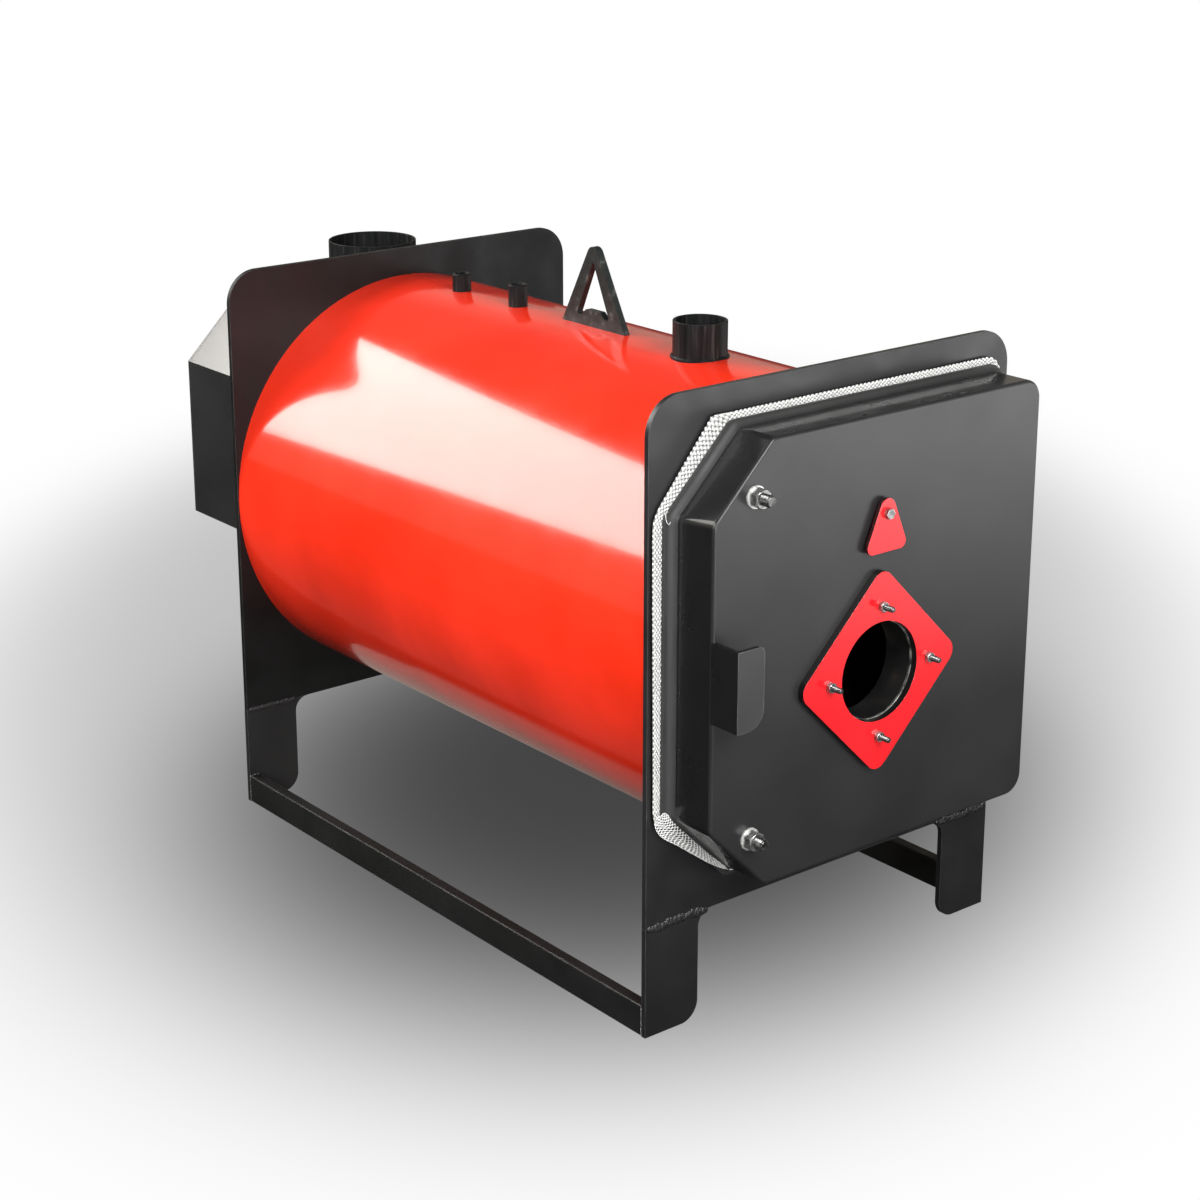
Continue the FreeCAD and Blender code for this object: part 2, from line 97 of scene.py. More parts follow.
def tinted(levels, tint=(1.0, 1.0, 1.0)):
    """Ramp stops of one tint, from (place, level) pairs."""
    return [(place, tuple(level * part for part in tint)) for place, level in levels]


bpy.ops.object.select_all(action="DESELECT")
bpy.ops.mesh.primitive_plane_add(size=80, location=(0, 0, 0))
floor = bpy.context.object
nodes, links, glow = glowing(floor, "studio_floor")
place = nodes.new("ShaderNodeTexCoord")
base_of_logs, display_gamma = 2.718, 2.2
tone = 1.0
# Each pool dims the floor's glow towards its middle: a painted shadow under the boiler.
painted_shadow_pools = (
    ((0.213, 0.17), -2.329, (0.887, 0.663), 0.469, 3.683),
    ((0.72, 0.92), -0.757, (1.165, 1.837), 0.258, 6.133),
)
for centre, turn, reach, depth, softness in painted_shadow_pools:
    local = nodes.new("ShaderNodeMapping")
    local.vector_type = "TEXTURE"
    local.inputs["Location"].default_value = (*centre, 0)
    local.inputs["Rotation"].default_value = (0, 0, turn)
    local.inputs["Scale"].default_value = (*reach, 1)
    links.new(place.outputs["Object"], local.inputs["Vector"])
    distance = nodes.new("ShaderNodeVectorMath")
    distance.operation = "LENGTH"
    links.new(local.outputs["Vector"], distance.inputs[0])
    steepened = maths("MULTIPLY", -1.0, maths("POWER", distance.outputs["Value"], softness))
    fall = maths("POWER", base_of_logs, steepened)
    tone = maths("SUBTRACT", tone, maths("MULTIPLY", depth, fall))
links.new(maths("POWER", tone, display_gamma), glow.inputs["Strength"])
unseen_by(floor, "glossy", "diffuse")

bpy.ops.mesh.primitive_cylinder_add(vertices=96, radius=38, depth=50, end_fill_type="NOTHING",
                                    location=(0, 0, 20))
cove = bpy.context.object
glowing(cove, "studio_cove")
unseen_by(cove, "glossy", "diffuse", "transmission", "shadow")

bpy.ops.mesh.primitive_plane_add(size=60, location=(0, 0, -0.004))
bounce = bpy.context.object
nodes, links, glow = glowing(bounce, "studio_bounce_sheet")
place = nodes.new("ShaderNodeTexCoord")
ahead = nodes.new("ShaderNodeVectorMath")
ahead.operation = "DOT_PRODUCT"
ahead.inputs[1].default_value = (0.35, -0.94, 0)
links.new(place.outputs["Object"], ahead.inputs[0])
sheet_reach = 5.0
levels = tinted([(0.0, 0.03), (0.28, 0.1), (0.5, 1.1), (0.7, 5.0), (1.0, 1.5)])
links.new(ramp(nodes, links, maths("DIVIDE", ahead.outputs["Value"], sheet_reach), levels, "EASE"),
          glow.inputs["Color"])
unseen_by(bounce, "camera")

# The gleam is a painted reflection: a glowing sheet hidden from the camera, from diffuse light and
# from shadows, seen only in the boiler's gloss and palest under the drum.
bpy.ops.mesh.primitive_grid_add(x_subdivisions=1, y_subdivisions=1, size=1, location=(0, 0, 0))
gleam = bpy.context.object
gleam_left, gleam_right, gleam_front, gleam_back, gleam_level = -1.4, 0.32, -0.36, 1.7, -0.003
for vertex in gleam.data.vertices:
    vertex.co = (gleam_left if vertex.co.x < 0 else gleam_right,
                 gleam_front if vertex.co.y < 0 else gleam_back, gleam_level)
nodes, links, glow = glowing(gleam, "studio_floor_gleam")
place = nodes.new("ShaderNodeTexCoord")
apart = nodes.new("ShaderNodeSeparateXYZ")
links.new(place.outputs["Object"], apart.inputs["Vector"])


def rise(value, start, end, height):
    """0 up to start, height from end on."""
    step = nodes.new("ShaderNodeMapRange")
    step.inputs["From Min"].default_value = start
    step.inputs["From Max"].default_value = end
    step.inputs["To Max"].default_value = height
    links.new(value, step.inputs["Value"])
    return step.outputs["Result"]


across, along = apart.outputs["X"], apart.outputs["Y"]
open_floor, under_the_drum = 0.08, 0.3
beside = maths("ADD", rise(across, gleam_left, -0.4, open_floor),
               rise(across, -0.33, -0.315, -open_floor))
below = maths("MULTIPLY", rise(across, -0.262, -0.235, under_the_drum), rise(along, -1.0, 0.7, 1.0))
links.new(maths("MULTIPLY", maths("ADD", beside, below), rise(along, -0.35, -0.2, 1.0)),
          glow.inputs["Strength"])
glow.inputs["Color"].default_value = (1.0, 0.94, 0.84, 1)
unseen_by(gleam, "camera", "diffuse", "shadow")

sky = bpy.data.worlds.new("studio_sky")
bpy.context.scene.world = sky
sky.use_nodes = True
nodes, links = sky.node_tree.nodes, sky.node_tree.links
place = nodes.new("ShaderNodeTexCoord")
height = nodes.new("ShaderNodeSeparateXYZ")
links.new(place.outputs["Generated"], height.inputs["Vector"])
levels = tinted([(0.0, 0.34), (0.3, 0.42)], (1.0, 0.93, 0.78)) + tinted([(0.5, 0.12), (1.0, 0.1)])
links.new(ramp(nodes, links, height.outputs["Z"], levels, "EASE"),
          nodes["Background"].inputs["Color"])

bpy.ops.mesh.primitive_circle_add(vertices=6, radius=1, fill_type="NGON", location=(0, 0, 0))
softbox = bpy.context.object
behind = 2.486
corners = [(-0.155, 2.278), (-0.46, 2.59), (-2.2, 4.13), (-4.0, 2.75), (-2.012, 1.278),
           (-1.62, 1.009)]
for vertex, (x, z) in zip(softbox.data.vertices, corners):
    vertex.co = (x, behind, z)
nodes, links, glow = glowing(softbox, "studio_softbox")
glow.inputs["Strength"].default_value = 9.0
glow.inputs["Color"].default_value = (1.0, 0.97, 0.92, 1)
unseen_by(softbox, "camera")

boiler_middle = Vector((0, 0, 0.5))
for name, spot, size, power in (("front_softbox", (-0.6, -4.2, 3.2), 2.4, 215),
                                ("low_softbox", (-1.2, -4.0, 0.5), 0.9, 50),
                                ("left_softbox", (-3.7, -0.8, 2.4), 1.8, 135)):
    bpy.ops.object.light_add(type="AREA", location=spot)
    lamp = bpy.context.object
    lamp.name = name
    lamp.data.shape = "RECTANGLE"
    lamp.data.size = size
    lamp.data.size_y = size
    lamp.data.energy = power
    lamp.rotation_euler = (Vector(spot) - boiler_middle).to_track_quat("Z", "Y").to_euler()
    lamp.visible_camera = False

camera_data = bpy.data.cameras.new("camera")
camera = bpy.data.objects.new("camera", camera_data)
bpy.context.scene.collection.objects.link(camera)
camera.location = (-2.1654, -2.7072, 1.5943)
look_down, look_right = 16.713, 38.905
camera.rotation_euler = (math.radians(90 - look_down), 0, math.radians(-look_right))
camera_data.sensor_width = 36
camera_data.lens = 73.66
camera_data.shift_y = -0.0833
bpy.context.scene.camera = camera
bpy.context.scene.view_settings.view_transform = "Standard"


# ---- Shell
# The water drum, rolled from 5 mm plate, its ends welded to the two end plates. It is sprayed a
# glossy orange red, with the faint orange peel and soft unevenness of a sprayed coat.

def object_coordinates(material):
    """The start of every finish: the material's nodes, links, shader and place on the piece."""
    material.use_nodes = True
    nodes = material.node_tree.nodes
    place = nodes.new("ShaderNodeTexCoord")
    return nodes, material.node_tree.links, nodes["Principled BSDF"], place.outputs["Object"]


def noise(nodes, links, place, scale, detail, stretch=None):
    """A noise pattern in metres on the piece, pulled out along an axis where stretch says so."""
    if stretch:
        mapping = nodes.new("ShaderNodeMapping")
        mapping.inputs["Scale"].default_value = stretch
        links.new(place, mapping.inputs["Vector"])
        place = mapping.outputs["Vector"]
    pattern = nodes.new("ShaderNodeTexNoise")
    pattern.inputs["Scale"].default_value = scale
    pattern.inputs["Detail"].default_value = detail
    links.new(place, pattern.inputs["Vector"])
    return pattern.outputs["Fac"]


def spread(nodes, links, value, low, high):
    """Noise brought from its usual 0.3 to 0.7 to the range low to high."""
    limits = nodes.new("ShaderNodeMapRange")
    limits.inputs["From Min"].default_value = 0.3
    limits.inputs["From Max"].default_value = 0.7
    limits.inputs["To Min"].default_value = low
    limits.inputs["To Max"].default_value = high
    links.new(value, limits.inputs["Value"])
    return limits.outputs["Result"]


def mixed(nodes, links, share, first, second):
    """Two colours mixed by a share; each is a colour or another node's output."""
    mix = nodes.new("ShaderNodeMix")
    mix.data_type = "RGBA"
    sockets = [s for s in mix.inputs if s.type == "RGBA"]
    for socket, colour in zip(sockets, (first, second)):
        if isinstance(colour, tuple):
            socket.default_value = (*colour, 1)
        else:
            links.new(colour, socket)
    links.new(share, mix.inputs["Factor"])
    return next(s for s in mix.outputs if s.type == "RGBA")


def bumped(nodes, links, shader, height, distance):
    """Relief this many metres deep where height goes from 0 to 1."""
    bump = nodes.new("ShaderNodeBump")
    bump.inputs["Distance"].default_value = distance
    links.new(height, bump.inputs["Height"])
    links.new(bump.outputs["Normal"], shader.inputs["Normal"])


def rubbed_gloss(nodes, links, shader, rubs, roughness, uneven):
    """A roughness that a pattern moves up and down by this share of itself."""
    low, high = roughness * (1 - uneven), roughness * (1 + uneven)
    links.new(spread(nodes, links, rubs, low, high), shader.inputs["Roughness"])


def sprayed_paint(name, colour, roughness, coat, uneven=0.2):
    """Sprayed paint: a little darker and lighter in patches, glossier in some than in others."""
    orange_peel = 0.00004
    material = bpy.data.materials.new(name)
    nodes, links, shader, place = object_coordinates(material)
    deep = tuple(0.88 * c for c in colour)
    pale = tuple(min(1.0, 1.1 * c + 0.02 * uneven) for c in colour)
    patches = noise(nodes, links, place, 5.0, 5.0)
    links.new(ramp(nodes, links, patches, [(0.35, deep), (0.65, pale)]),
              shader.inputs["Base Color"])
    rubbed_gloss(nodes, links, shader, noise(nodes, links, place, 26.0, 6.0), roughness, uneven)
    bumped(nodes, links, shader, noise(nodes, links, place, 420.0, 2.0), orange_peel)
    shader.inputs["Coat Weight"].default_value = coat
    shader.inputs["Coat Roughness"].default_value = 0.04
    return material


def finish_node(node, material):
    """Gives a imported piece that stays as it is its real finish."""
    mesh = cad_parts[node].data
    mesh.materials.clear()
    mesh.materials.append(material)


shell_paint = sprayed_paint("shell_paint", (0.86, 0.029, 0.008), 0.15, 0.35)
finish_node("shell", shell_paint)


# ---- End plates and legs
# Two flat 8 mm plates close the drum and carry it on four legs cut from the same plate. All are
# sprayed satin black and rubbed thin and grey along the cut edges; the rear plate's black is
# duller, and darker as painted shade.

def pick_up(*pieces):
    """Selects these pieces and nothing else, the first of them active."""
    bpy.ops.object.select_all(action="DESELECT")
    for piece in pieces:
        piece.select_set(True)
    bpy.context.view_layer.objects.active = pieces[0]


def shaped(piece, kind, **settings):
    """Adds a modifier to the active piece and applies it."""
    modifier = piece.modifiers.new(kind.lower(), kind)
    for setting, value in settings.items():
        setattr(modifier, setting, value)
    bpy.ops.object.modifier_apply(modifier=modifier.name)


def bevelled_copy(node, width, segments=2):
    """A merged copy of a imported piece, its sharp edges broken by a small bevel."""
    piece = bpy.data.objects.new(node + "_finished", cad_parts[node].data.copy())
    bpy.context.scene.collection.objects.link(piece)
    pick_up(piece)
    bpy.ops.object.mode_set(mode="EDIT")
    bpy.ops.mesh.customdata_custom_splitnormals_clear()
    bpy.ops.mesh.select_all(action="SELECT")
    bpy.ops.mesh.remove_doubles(threshold=0.00003)
    bpy.ops.mesh.dissolve_limited(angle_limit=math.radians(1.0))
    bpy.ops.object.mode_set(mode="OBJECT")
    if width:
        shaped(piece, "BEVEL", width=width, segments=segments, limit_method="ANGLE",
               angle_limit=math.radians(40))
    bpy.ops.object.shade_smooth_by_angle(angle=math.radians(38))
    shaped(piece, "WEIGHTED_NORMAL", keep_sharp=True)
    return piece


def edge_share(nodes, links, edge_reach):
    """How much of a place is edge: 0 on a flat face, 1 where the surface turns within edge_reach.
    """
    rounding = nodes.new("ShaderNodeBevel")
    rounding.samples = 6
    rounding.inputs["Radius"].default_value = edge_reach
    real = nodes.new("ShaderNodeNewGeometry")
    turn = nodes.new("ShaderNodeVectorMath")
    turn.operation = "DOT_PRODUCT"
    links.new(rounding.outputs["Normal"], turn.inputs[0])
    links.new(real.outputs["Normal"], turn.inputs[1])
    edge = nodes.new("ShaderNodeMapRange")
    edge.inputs["From Min"].default_value = 0.995
    edge.inputs["From Max"].default_value = 0.9
    links.new(turn.outputs["Value"], edge.inputs["Value"])
    return edge.outputs["Result"]


def satin_paint(name, colour, roughness, worn_and_highlight_tone, edge_reach=0.0012, grain=0.00003, rubbed=0.22):
    """Satin paint that is paler along its edges, found by how far they turn: worn paint on most
    pieces, a painted highlight on the runners and the rough welds.
    """
    material = bpy.data.materials.new(name)
    nodes, links, shader, place = object_coordinates(material)
    deep, pale = tuple(0.8 * c for c in colour), tuple(1.3 * c for c in colour)
    base = ramp(nodes, links, noise(nodes, links, place, 7.0, 6.0), [(0.3, deep), (0.7, pale)])
    chips = spread(nodes, links, noise(nodes, links, place, 38.0, 8.0), 0.1, 0.9)
    share = nodes.new("ShaderNodeMath")
    share.operation = "MULTIPLY"
    links.new(edge_share(nodes, links, edge_reach), share.inputs[0])
    links.new(chips, share.inputs[1])
    links.new(mixed(nodes, links, share.outputs["Value"], base, worn_and_highlight_tone), shader.inputs["Base Color"])
    rubbed_gloss(nodes, links, shader, noise(nodes, links, place, 18.0, 7.0), roughness, rubbed)
    bumped(nodes, links, shader, noise(nodes, links, place, 900.0, 2.0), grain)
    return material


def fitted(piece, material, body, node=None):
    """Gives a piece its finish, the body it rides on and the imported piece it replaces."""
    piece.data.materials.clear()
    piece.data.materials.append(material)
    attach(piece, body)
    if node:
        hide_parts(node)


rubbed_edge = (0.12, 0.12, 0.125)
black_paint = satin_paint("black_paint", (0.013, 0.013, 0.014), 0.36, rubbed_edge)
shaded_rear_black = satin_paint("rear_black_paint", (0.0036, 0.0042, 0.0043), 0.48, rubbed_edge)
shaded_rear_black.node_tree.nodes["Principled BSDF"].inputs["Specular IOR Level"].default_value = 0.3
for node in ("front_plate", "rear_plate", "front_left_leg", "front_right_leg", "rear_left_leg",
             "rear_right_leg"):
    fitted(bevelled_copy(node, 0.0009), shaded_rear_black if node == "rear_plate" else black_paint,
           "boiler", node)


# ---- Weld beads
# A weld laid by hand joins each leg to its end plate, across the front and back of the joint and
# short of the rounded corner. A bead is a row of small overlapping ripples, none quite like the
# next, painted over: heavy and rough at the front legs, flat and even at the rear ones.

def joined(name, pieces):
    """Pieces of one kind as one object."""
    pick_up(*pieces)
    bpy.ops.object.join()
    pieces[0].name = name
    return pieces[0]


def weld_bead(name, start, end, radius, wobble):
    """A row of flattened ripples from start to end, as one mesh."""
    pitch, proud = 0.0024, 0.55
    random.seed(name)
    start, end = Vector(start), Vector(end)
    count = int((end - start).length / pitch)
    ripples = []
    for k in range(count + 1):
        bpy.ops.object.select_all(action="DESELECT")
        spot = start.lerp(end, k / count)
        if not ripples:
            bpy.ops.mesh.primitive_uv_sphere_add(segments=12, ring_count=7, radius=radius,
                                                 location=spot)
            ripple = bpy.context.object
        else:
            ripple = ripples[0].copy()
            ripple.data = ripples[0].data.copy()
            bpy.context.scene.collection.objects.link(ripple)
            ripple.location = spot + Vector((0, 0, random.uniform(-wobble, wobble)))
        size = random.uniform(0.85, 1.1)
        ripple.scale = (size, proud * random.uniform(0.85, 1.1), size * random.uniform(0.9, 1.15))
        ripples.append(ripple)
    bead = joined(name, ripples)
    bpy.ops.object.transform_apply(location=True, rotation=True, scale=True)
    bpy.ops.object.shade_smooth()
    return bead


# The front welds' rough paint turns pale on the turns of its ripples: a painted glint.
rough_weld_paint = satin_paint("rough_weld_paint", (0.012, 0.012, 0.0125), 0.3, (0.3, 0.3, 0.29),
                               edge_reach=0.0006, grain=0.0003)
weld_paint = satin_paint("weld_paint", (0.016, 0.016, 0.017), 0.42, (0.09, 0.088, 0.085),
                         edge_reach=0.0005, grain=0.0002)
outer_stop = 0.007
for side in ("left", "right"):
    for end, stop, radius, wobble, paint in (("front", 0.011, 0.0052, 0.0026, rough_weld_paint),
                                             ("rear", 0.026, 0.0038, 0.0006, weld_paint)):
        low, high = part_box(f"{end}_{side}_leg")
        left_stop, right_stop = (outer_stop, stop) if side == "left" else (stop, outer_stop)
        for face, y in (("outer", low.y), ("inner", high.y)):
            bead = weld_bead(f"{end}_{side}_leg_weld_{face}", (low.x + left_stop, y, high.z),
                             (high.x - right_stop, y, high.z), radius, wobble)
            fitted(bead, paint, "boiler")


# ---- Floor runners
# A square-edged tube on each side ties the front and rear legs together along the floor. It is
# cold-formed, so its long edges are a little round. Its black is duller than the plates', and a
# near-white painted highlight runs along its edges in broken patches.

runner_paint = satin_paint("runner_paint", (0.008, 0.0085, 0.0085), 0.5, (0.85, 0.85, 0.84),
                           edge_reach=0.0018)
runner_paint.node_tree.nodes["Principled BSDF"].inputs["Specular IOR Level"].default_value = 0.25
for node in ("left_runner", "right_runner"):
    fitted(bevelled_copy(node, 0), runner_paint, "boiler", node)


# ---- Smoke box
# A folded 4 mm sheet box on the back of the rear plate, closed by a flat back sheet and painted
# black. Its top is cut off at 45 degrees on both sides.

box_paint = satin_paint("smoke_box_paint", (0.022, 0.022, 0.0225), 0.2, (0.15, 0.15, 0.15),
                        edge_reach=0.0009, rubbed=0.1)
box_paint.node_tree.nodes["Principled BSDF"].inputs["Coat Weight"].default_value = 0.22
for node in ("smoke_box", "smoke_box_back"):
    fitted(bevelled_copy(node, 0.0007), box_paint, "boiler", node)


# ---- Flue pipe and water pipes
# Short ends of black steel tube welded on for the installer: the flue on the smoke box, the flow on
# the crown and the return low on the rear plate. Mill scale streaks run along them.

def closed_up(gap):
    """Merges the active piece's points that lie within gap and turns its faces outwards."""
    bpy.ops.object.mode_set(mode="EDIT")
    bpy.ops.mesh.select_all(action="SELECT")
    bpy.ops.mesh.remove_doubles(threshold=gap)
    bpy.ops.mesh.normals_make_consistent(inside=False)
    bpy.ops.object.mode_set(mode="OBJECT")


def turned(name, foot, axis, profile, sides):
    """A turned piece: a ring pulled from each (radius, height) of its profile to the next.

    A profile that ends where it starts makes a ring or a tube; any other starts and ends solid."""
    hollow = profile[0] == profile[-1]
    bpy.ops.object.select_all(action="DESELECT")
    radius, height = profile[0]
    bpy.ops.mesh.primitive_circle_add(vertices=sides, radius=radius, location=(0, 0, height),
                                      fill_type="NOTHING" if hollow else "NGON")
    piece = bpy.context.object
    piece.name = name
    bpy.ops.object.transform_apply(location=True, rotation=True, scale=True)
    bpy.ops.object.mode_set(mode="EDIT")
    for next_radius, next_height in profile[1:]:
        bpy.ops.mesh.extrude_region_move(
            TRANSFORM_OT_translate={"value": (0, 0, next_height - height)})
        ratio = next_radius / radius
        bpy.ops.transform.resize(value=(ratio, ratio, 1), center_override=(0, 0, next_height))
        radius, height = next_radius, next_height
    closed_up(0.000005)
    piece.rotation_euler = Vector(axis).to_track_quat("Z", "Y").to_euler()
    piece.location = foot
    bpy.ops.object.transform_apply(location=True, rotation=True, scale=True)
    bpy.ops.object.shade_smooth_by_angle(angle=math.radians(32))
    return piece


def pipe_profile(outer, wall, length):
    """A tube whose far rim is chamfered inside and out."""
    inner, chamfer = outer - wall, 0.0006
    return [(outer, 0.0), (outer, length - chamfer), (outer - chamfer, length),
            (inner + chamfer, length), (inner, length - chamfer), (inner, 0.0), (outer, 0.0)]


def scaled_steel(name, along):
    """Black mill scale with paler streaks along the tube and a breath of brown."""
    material = bpy.data.materials.new(name)
    nodes, links, shader, place = object_coordinates(material)
    pull = tuple(0.06 if axis == along else 1.0 for axis in "xyz")
    streaks = noise(nodes, links, place, 160.0, 4.0, pull)
    tones = [(0.38, (0.0045, 0.005, 0.0055)), (0.58, (0.009, 0.0095, 0.01)),
             (0.72, (0.035, 0.035, 0.035))]
    base = ramp(nodes, links, streaks, tones)
    rust = spread(nodes, links, noise(nodes, links, place, 30.0, 8.0), -0.3, 0.1)
    links.new(mixed(nodes, links, rust, base, (0.035, 0.03, 0.026)), shader.inputs["Base Color"])
    links.new(spread(nodes, links, streaks, 0.38, 0.55), shader.inputs["Roughness"])
    shader.inputs["Metallic"].default_value = 0.1
    shader.inputs["Specular IOR Level"].default_value = 0.2
    bumped(nodes, links, shader, streaks, 0.0002)
    return material


upright_scale = scaled_steel("upright_mill_scale", "z")
level_scale = scaled_steel("level_mill_scale", "y")
up, back = (0, 0, 1), (0, 1, 0)
tubes = (
    ("flue_pipe", up, 0.003, 0.0, 96, upright_scale),
    ("flow_pipe", up, 0.004, 0.00295, 72, upright_scale),
    ("return_pipe", back, 0.004, 0.0, 72, level_scale),
)
for node, axis, wall, weld, sides, material in tubes:
    low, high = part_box(node)
    outer = (high.x - low.x) / 2 - weld
    foot, run = (low + high) / 2, axis.index(1)
    foot[run] = low[run]
    profile = pipe_profile(outer, wall, high[run] - low[run])
    piece = turned(node + "_turned", foot, axis, profile, sides)
    if weld:
        sunk, toe, throat = 0.006, 0.0065, 0.0085
        foot.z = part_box("shell")[1].z - sunk
        inner = outer - 0.001
        ring = turned(node + "_weld", foot, axis,
                      [(inner, 0.0), (outer + weld, 0.0), (outer + weld, toe),
                       (outer + 0.4 * weld, throat), (inner, throat), (inner, 0.0)], 72)
        fitted(ring, material, "boiler")
    fitted(piece, material, "boiler", node)


# ---- Sockets
# Two small threaded sockets on the crown, for a gauge and a safety valve. They are turned from
# black bar, chamfered at the rim and threaded inside.

bore, pitch, thread_depth, plain_foot = 0.0104, 0.0018, 0.0011, 0.004
rim_chamfer, bore_chamfer = 0.0014, 0.0012
for node in ("gauge_socket", "safety_socket"):
    low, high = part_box(node)
    foot = (low + high) / 2
    foot.z = low.z
    outer, tall = (high.x - low.x) / 2, high.z - low.z
    profile = [(outer, 0.0), (outer, tall - rim_chamfer), (outer - rim_chamfer, tall),
               (bore + bore_chamfer, tall), (bore, tall - bore_chamfer)]
    for k in range(int((tall - plain_foot) / pitch)):
        level = tall - bore_chamfer - k * pitch
        profile += [(bore - thread_depth, level - pitch / 2), (bore, level - pitch)]
    profile += [(bore, 0.0), (outer, 0.0)]
    fitted(turned(node + "_turned", foot, up, profile, 40), upright_scale,
           "boiler", node)


# ---- Lifting lug
# A 10 mm plate triangle with a triangular eye, welded upright along the crown for a crane hook. It
# is flame-cut and only thinly painted, so it is scuffed and browned by slings.

def mottled(name, grain, tones, gloss, metal, relief):
    """A bare surface whose colour, gloss and relief all follow one noise of a scale and detail."""
    material = bpy.data.materials.new(name)
    nodes, links, shader, place = object_coordinates(material)
    pattern = noise(nodes, links, place, *grain)
    links.new(ramp(nodes, links, pattern, tones), shader.inputs["Base Color"])
    links.new(spread(nodes, links, pattern, *gloss), shader.inputs["Roughness"])
    shader.inputs["Metallic"].default_value = metal
    if relief:
        bumped(nodes, links, shader, pattern, relief)
    return material


tones = [(0.4, (0.008, 0.0115, 0.0115)), (0.6, (0.02, 0.027, 0.026)), (0.74, (0.1, 0.11, 0.1))]
lug_steel = mottled("lug_steel", (75.0, 9.0), tones, (0.5, 0.35), 0.2, 0.0003)
lug = bevelled_copy("lifting_lug", 0.0009)
lug_low, lug_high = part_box("lifting_lug")
lug_middle = (lug_low.y + lug_high.y) / 2
tip_low, tip_high = lug_high.z - 0.044, lug_high.z - 0.025
tip_width, sharpened = 0.005, 0.010
for vertex in lug.data.vertices:  # the eye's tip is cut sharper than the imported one
    if abs(vertex.co.y - lug_middle) < tip_width and tip_low < vertex.co.z < tip_high:
        vertex.co.z += sharpened
fitted(lug, lug_steel, "boiler", "lifting_lug")


# ---- Hinges
# Two pin hinges on the right: forged ears on the front plate, a knuckle on the door between them
# and a zinc-plated headed pin dropped through all three.

def plated_zinc(name, dull, bright, rim, edge_reach=0.0008, metal=0.85):
    """Zinc plate: blotched by handling, with a painted highlight along its edges."""
    material = bpy.data.materials.new(name)
    nodes, links, shader, place = object_coordinates(material)
    blotches = noise(nodes, links, place, 140.0, 6.0)
    plate = ramp(nodes, links, blotches,
                 [(0.35, (dull, dull, dull)), (0.65, (bright, bright, 0.97 * bright))])
    edge = edge_share(nodes, links, edge_reach)
    links.new(mixed(nodes, links, edge, plate, (rim, rim, 0.98 * rim)), shader.inputs["Base Color"])
    links.new(spread(nodes, links, blotches, 0.18, 0.34), shader.inputs["Roughness"])
    shader.inputs["Metallic"].default_value = metal
    bumped(nodes, links, shader, noise(nodes, links, place, 700.0, 3.0), 0.00005)
    return material


zinc = plated_zinc("zinc_plate", 0.16, 0.4, 0.95)
for node, body, slot, width, material in (
        ("hinge_ears", "boiler", "black_paint", 0.0008, black_paint),
        ("hinge_pins", "boiler", "zinc", 0.0005, zinc),
        ("door_knuckles", "door", "black_paint", 0.0008, black_paint)):
    fitted(bevelled_copy(node, width), material, body, node)


# ---- Furnace and smoke tubes
# Behind the door the flame burns in a wide steel tube, closed at its far end, and the gas returns
# to the smoke box through twelve narrow tubes above it. All are dry brown scale dusted with soot.

tones = [(0.36, (0.004, 0.004, 0.004)), (0.55, (0.009, 0.008, 0.008)), (0.72, (0.03, 0.023, 0.018))]
soot = mottled("sooted_scale", (34.0, 10.0), tones, (0.6, 0.85), 0.3, 0.0006)
for node in ("furnace_tube", "furnace_end", "smoke_tubes", "burner_tunnel"):
    finish_node(node, soot)


# ---- Door pan
# The door is a pan: a 5 mm front sheet with folded edges, a 4 mm skirt round it and a narrow flange
# that presses on the rope, run into the skirt by a soft hollow. The front and flange are satin
# black, the skirt a wetter gloss black.

door_paint = satin_paint("door_paint", (0.018, 0.018, 0.0185), 0.3, (0.05, 0.05, 0.05),
                         edge_reach=0.0006, rubbed=0.06)
flange_paint = satin_paint("flange_paint", (0.024, 0.024, 0.024), 0.58, (0.08, 0.08, 0.08),
                           edge_reach=0.0006)
skirt_paint = sprayed_paint("skirt_paint", (0.007, 0.007, 0.0075), 0.28, 0.3, uneven=0.05)
for node, width, slot, material in (("door_plate", 0, "door_paint", door_paint),
                                    ("door_skirt", 0, "skirt_paint", skirt_paint),
                                    ("door_flange", 0.0007, "black_paint", flange_paint)):
    fitted(bevelled_copy(node, width), material, "door", node)


def rounded_path(corners):
    """Points round a closed outline of (x, z, radius) corners, nine to each corner's arc."""
    points = []
    for k, (x, z, radius) in enumerate(corners):
        here = Vector((x, z))
        before = Vector(corners[k - 1][:2])
        after = Vector(corners[(k + 1) % len(corners)][:2])
        inward, outward = (before - here).normalized(), (after - here).normalized()
        bend = inward.angle(outward)
        first = here + inward * radius / math.tan(bend / 2)
        centre = here + (inward + outward).normalized() * radius / math.sin(bend / 2)
        side = 1 if inward.x * outward.y - inward.y * outward.x < 0 else -1
        arm = first - centre
        for step in range(9):
            angle = side * (math.pi - bend) * step / 8
            points.append(centre + Vector((arm.x * math.cos(angle) - arm.y * math.sin(angle),
                                           arm.x * math.sin(angle) + arm.y * math.cos(angle))))
    return points


door_low, door_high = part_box("door_plate")
flange_low, flange_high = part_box("door_flange")
front_sheet, skirt_depth, skirt_flare = 0.005, 0.067, 0.008
pan_cut, left_bend, right_bend = 0.095, 0.016, 0.028
left_stretch = 1.45  # the hollow is this much wider on the handle's side


